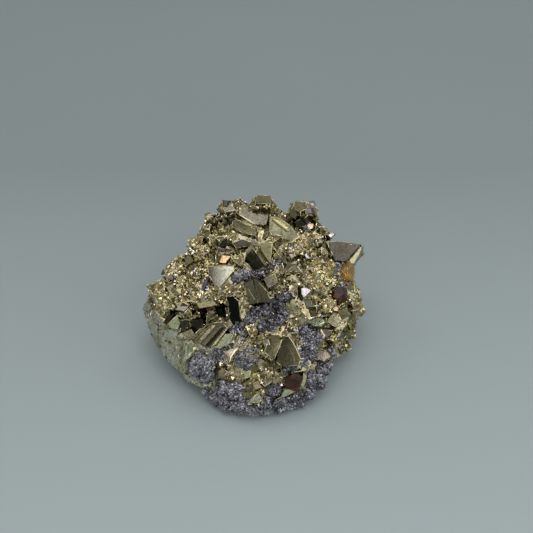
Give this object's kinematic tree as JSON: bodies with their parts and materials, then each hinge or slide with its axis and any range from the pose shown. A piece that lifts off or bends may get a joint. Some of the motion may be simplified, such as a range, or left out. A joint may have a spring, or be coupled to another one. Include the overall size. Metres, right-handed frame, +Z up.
{
  "type": "pyrite specimen",
  "caption": "Hand specimen of brassy octahedral pyrite crystals grown as one mass, with a dark granular crust and seams and small amber crystals, resting on a flat underside.",
  "frame": {"origin": "centre of the flat underside's bounding box, on the surface the specimen stands on", "axes": "+X to the specimen's right as displayed, +Y to its back, +Z up"},
  "size_m": [0.0865, 0.0803, 0.0467],
  "materials": {
    "pyrite": "metallic natural crystal faces, pale brass, partly tarnished",
    "dark_grains": "dark grey granular mineral with a sub-metallic glitter",
    "honey": "resinous orange crystal",
    "red_brown": "glossy dark red-brown crystal"
  },
  "bodies": {
    "root": {"pyrite_cluster": "pyrite", "dark_crust_front": "dark_grains", "dark_knob_left": "dark_grains", "dark_seam_upper": "dark_grains", "dark_seam_middle": "dark_grains", "dark_seam_right": "dark_grains", "honey_crystal": "honey", "red_crystal_right": "red_brown", "red_crystal_front": "red_brown"}
  },
  "joints": []
}
